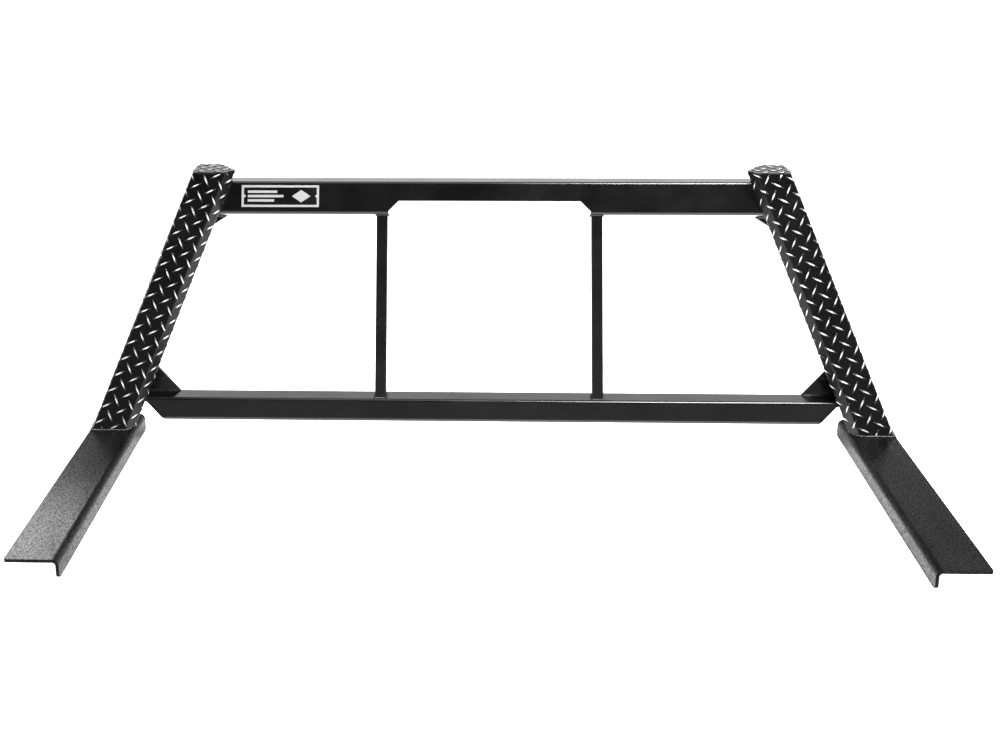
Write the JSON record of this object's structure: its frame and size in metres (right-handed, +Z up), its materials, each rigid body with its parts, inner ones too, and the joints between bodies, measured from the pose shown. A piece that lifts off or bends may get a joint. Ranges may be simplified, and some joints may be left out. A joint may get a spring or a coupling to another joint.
{
  "type": "headache rack",
  "caption": "Pickup truck headache rack: leaning tread-plate posts on bed-rail feet, joined by formed rails with window bars, corner gussets and a brake-light notch.",
  "frame": {"origin": "centre of the rack's footprint box, level with the lower edges of the foot flanges", "axes": "+X across the truck to the right as seen from the tailgate, +Y towards the cab, +Z up"},
  "size_m": [1.778, 0.8982, 0.5842],
  "materials": {
    "tread_plate": "black powder coat on tread plate, lug tops worn to bare aluminium",
    "foot_coat": "coarse textured black powder coat",
    "frame_coat": "semi-gloss black powder coat with a fine texture",
    "weld_coat": "powder-coated weld beads",
    "name_plate": "bright rim round a black field",
    "rivet": "bare domed rivet"
  },
  "bodies": {
    "root": {"left_post_shell": "tread_plate", "right_post_shell": "tread_plate", "left_post_cap": "tread_plate", "right_post_cap": "tread_plate", "left_foot_angle": "foot_coat", "right_foot_angle": "foot_coat", "top_rail_channel": "frame_coat", "bottom_rail_channel": "frame_coat", "left_window_bar": "frame_coat", "right_window_bar": "frame_coat", "left_lower_gusset": "frame_coat", "right_lower_gusset": "frame_coat", "left_upper_gusset": "frame_coat", "right_upper_gusset": "frame_coat", "left_post_back_plate": "frame_coat", "right_post_back_plate": "frame_coat", "left_post_base_weld": "weld_coat", "right_post_base_weld": "weld_coat", "top_rail_end_welds": "weld_coat", "bottom_rail_end_welds": "weld_coat", "window_bar_welds": "weld_coat", "gusset_welds": "weld_coat", "badge_plate": "name_plate", "badge_rivets": "rivet"}
  },
  "joints": []
}
